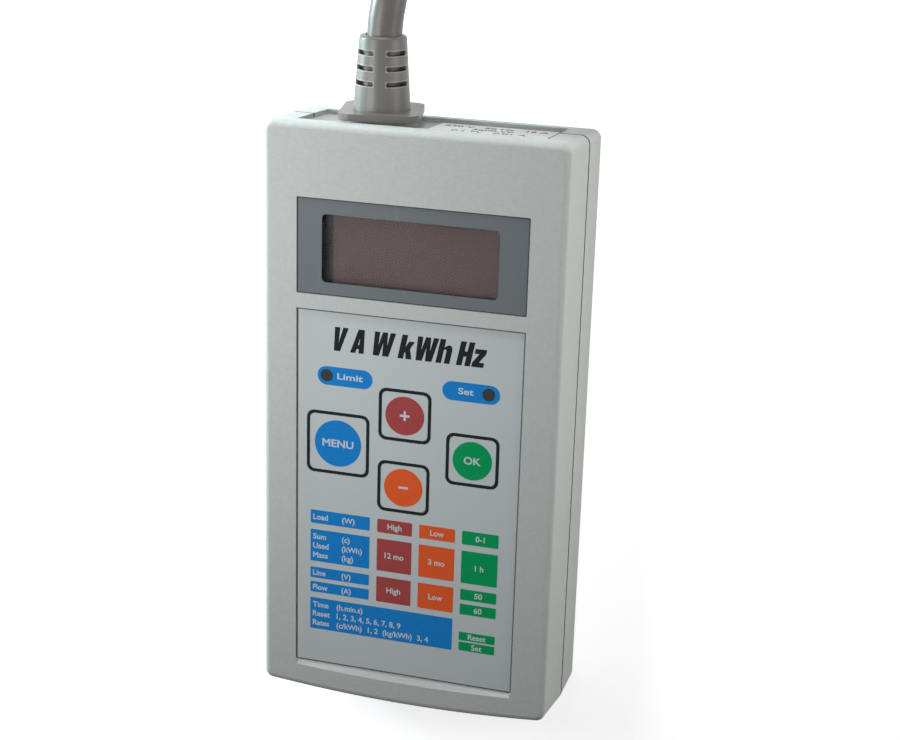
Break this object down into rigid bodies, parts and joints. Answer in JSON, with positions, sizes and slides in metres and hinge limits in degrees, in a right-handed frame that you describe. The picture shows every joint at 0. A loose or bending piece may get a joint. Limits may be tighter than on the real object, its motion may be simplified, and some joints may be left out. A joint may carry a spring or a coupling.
{
  "type": "smart energy monitor",
  "caption": "Hand-held mains energy monitor: two-part case with display window and membrane keypad, thick cord from its end to a pass-through plug.",
  "frame": {"origin": "middle of the case's flat back, without the cord", "axes": "+Y towards the end that the cord leaves, +Z out of the front face, +X to the right seen from the front"},
  "size_m": [0.1727, 0.3944, 0.0606],
  "materials": {
    "case_plastic": "fine moulded texture, warm light grey",
    "label_film": "white label film",
    "plate_grey": "satin mid grey",
    "window_clear": "clear polished window",
    "overlay_print": "printed overlay film, satin",
    "key_blue": "blue print on overlay film",
    "key_red": "red print on overlay film",
    "key_orange": "orange print on overlay film",
    "key_green": "green print on overlay film",
    "white_plastic": "moulded white plastic",
    "lamp_dark": "dark tinted window",
    "lamp_red": "red diffused lamp",
    "black_metal": "black painted steel",
    "lcd_glass": "grey brown display glass",
    "board_green": "solder-masked circuit board",
    "black_plastic": "moulded black plastic",
    "screw_steel": "zinc plated steel",
    "ribbon_grey": "grey ribbon cable",
    "core_iron": "varnished laminations",
    "winding_tape": "taped winding",
    "capacitor_sleeve": "shrink sleeve",
    "copper_alloy": "bare resistance alloy",
    "resistor_tan": "painted resistor body",
    "varistor_red": "epoxy dipped",
    "fuse_glass": "glass fuse tube",
    "brass": "plated brass",
    "terminal_green": "moulded terminal block",
    "cord_grey": "light grey flexible cord sheath",
    "core_insulation": "coloured core insulation",
    "tie_black": "black tie"
  },
  "bodies": {
    "case": {"front_shell": "case_plastic", "rear_shell": "case_plastic", "end_panel": "case_plastic", "end_label": "label_film", "display_plate": "plate_grey", "window_pane": "window_clear", "overlay_film": "overlay_print", "lamp_windows": "lamp_dark", "status_lamps": "lamp_red", "lcd_frame": "black_metal", "lcd_glass": "lcd_glass", "lcd_diffuser": "white_plastic", "lcd_board": "board_green", "lcd_spacers": "white_plastic", "lcd_pin_header": "black_plastic", "main_board": "board_green", "main_board_screws": "screw_steel", "tact_switches": "black_plastic", "microcontroller": "black_plastic", "memory_chip": "black_plastic", "crystal": "screw_steel", "main_header": "black_plastic", "ribbon_cable": "ribbon_grey", "power_header": "black_plastic", "power_board": "board_green", "power_board_screws": "screw_steel", "transformer_core": "core_iron", "transformer_winding": "winding_tape", "smoothing_capacitors": "capacitor_sleeve", "rectifier": "black_plastic", "regulator": "black_plastic", "current_shunt": "copper_alloy", "sense_resistors": "resistor_tan", "varistor": "varistor_red", "fuse": "fuse_glass", "fuse_clips": "brass", "measuring_chip": "black_plastic", "terminal_block": "terminal_green", "terminal_screws": "screw_steel", "cord_sheath_end": "cord_grey", "cord_clamp": "white_plastic", "clamp_screws": "screw_steel", "cord_cores": "core_insulation", "strain_relief": "cord_grey", "relief_clip": "screw_steel", "case_screws": "screw_steel", "cord_stretch": "cord_grey", "cord_coil": "cord_grey", "cord_tie": "tie_black", "plug_body": "cord_grey", "plug_pins": "brass", "socket_contacts": "brass"},
    "mode_key": {"key_mode": "key_blue", "plunger_mode": "white_plastic"},
    "plus_key": {"key_plus": "key_red", "plunger_plus": "white_plastic"},
    "minus_key": {"key_minus": "key_orange", "plunger_minus": "white_plastic"},
    "enter_key": {"key_enter": "key_green", "plunger_enter": "white_plastic"}
  },
  "joints": [
    {"name": "mode_press", "type": "slide", "parent": "case", "child": "mode_key", "axis": [0, 0, -1], "range_m": [0, 0.0005], "stiffness_N_per_m": 800, "springref_m": -0.0005},
    {"name": "plus_press", "type": "slide", "parent": "case", "child": "plus_key", "axis": [0, 0, -1], "range_m": [0, 0.0005], "stiffness_N_per_m": 800, "springref_m": -0.0005},
    {"name": "minus_press", "type": "slide", "parent": "case", "child": "minus_key", "axis": [0, 0, -1], "range_m": [0, 0.0005], "stiffness_N_per_m": 800, "springref_m": -0.0005},
    {"name": "enter_press", "type": "slide", "parent": "case", "child": "enter_key", "axis": [0, 0, -1], "range_m": [0, 0.0005], "stiffness_N_per_m": 800, "springref_m": -0.0005}
  ]
}
